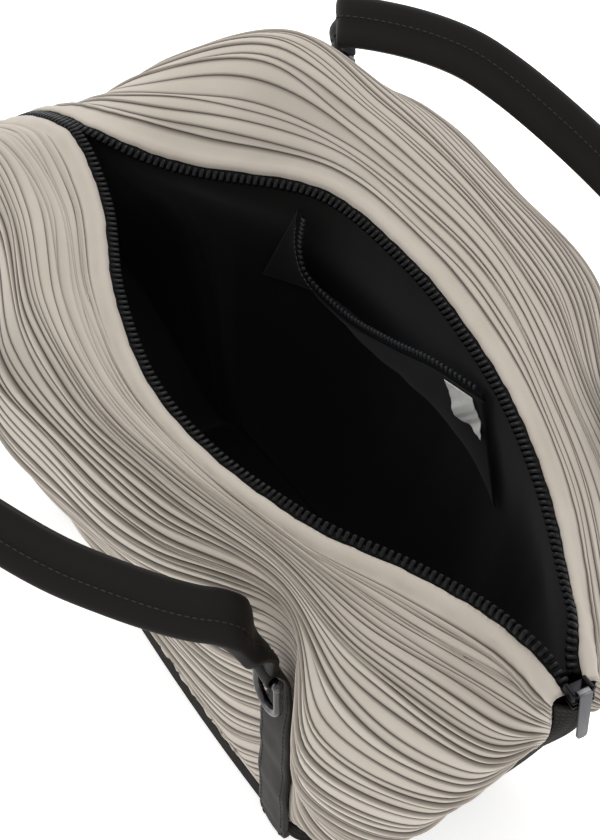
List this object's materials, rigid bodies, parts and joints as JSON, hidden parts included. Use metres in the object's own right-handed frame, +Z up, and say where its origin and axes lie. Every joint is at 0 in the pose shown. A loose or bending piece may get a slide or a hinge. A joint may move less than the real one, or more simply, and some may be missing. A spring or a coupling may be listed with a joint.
{
  "type": "pleated bag",
  "caption": "Soft open zip-top bag with pleated cloth sides on a low canvas base, two folded leather handles on leather tabs, and a dark lining with a zipped pocket.",
  "frame": {"origin": "centre of the base's underside, where the bag rests", "axes": "+Z up, +X towards the end where the zip's slider is, -Y towards the front panel"},
  "size_m": [0.4895, 0.3724, 0.2364],
  "materials": {
    "pleated_cloth": "crinkled pleated cotton blend",
    "canvas": "plain woven canvas",
    "satin": "soft satin lining",
    "zip_tape": "woven zip tape",
    "zip_teeth": "moulded, half gloss",
    "pocket_zip_teeth": "moulded coil",
    "label_cloth": "woven satin label, blank",
    "leather": "smooth with fine grain",
    "gunmetal": "polished dark plating",
    "puller_steel": "satin dark nickel"
  },
  "bodies": {
    "bag": {"base_floor": "canvas", "base_band": "canvas", "end_gusset_left": "canvas", "end_gusset_right": "canvas", "front_panel": "pleated_cloth", "back_panel": "pleated_cloth", "lining": "satin", "inner_pocket": "satin", "pocket_zip": "pocket_zip_teeth", "care_label": "label_cloth", "zip_tape_front": "zip_tape", "zip_tape_back": "zip_tape", "zip_teeth_front": "zip_teeth", "zip_teeth_back": "zip_teeth", "zip_slider": "zip_teeth", "tab_front_left": "leather", "tab_front_right": "leather", "tab_back_left": "leather", "tab_back_right": "leather", "handle_front": "leather", "handle_back": "leather"},
    "puller": {"zip_puller": "puller_steel"},
    "ring_front_left": {"shackle_front_left": "gunmetal"},
    "ring_front_right": {"shackle_front_right": "gunmetal"},
    "ring_back_left": {"shackle_back_left": "gunmetal"},
    "ring_back_right": {"shackle_back_right": "gunmetal"}
  },
  "joints": [
    {"name": "puller_swing", "type": "hinge", "parent": "bag", "child": "puller", "pos_m": [0.22944, 0.011, 0.19205], "axis": [0, 1, 0], "range_deg": [-250, 0]},
    {"name": "ring_front_left_swing", "type": "hinge", "parent": "bag", "child": "ring_front_left", "pos_m": [-0.10966, -0.09186, 0.11606], "axis": [1, 0, 0], "range_deg": [-90, 0]},
    {"name": "ring_front_right_swing", "type": "hinge", "parent": "bag", "child": "ring_front_right", "pos_m": [0.11476, -0.06193, 0.12094], "axis": [1, 0, 0], "range_deg": [-90, 0]},
    {"name": "ring_back_left_swing", "type": "hinge", "parent": "bag", "child": "ring_back_left", "pos_m": [-0.12062, 0.09622, 0.1156], "axis": [1, 0, 0], "range_deg": [0, 90]},
    {"name": "ring_back_right_swing", "type": "hinge", "parent": "bag", "child": "ring_back_right", "pos_m": [0.10218, 0.11517, 0.10832], "axis": [1, 0, 0], "range_deg": [0, 90]}
  ]
}
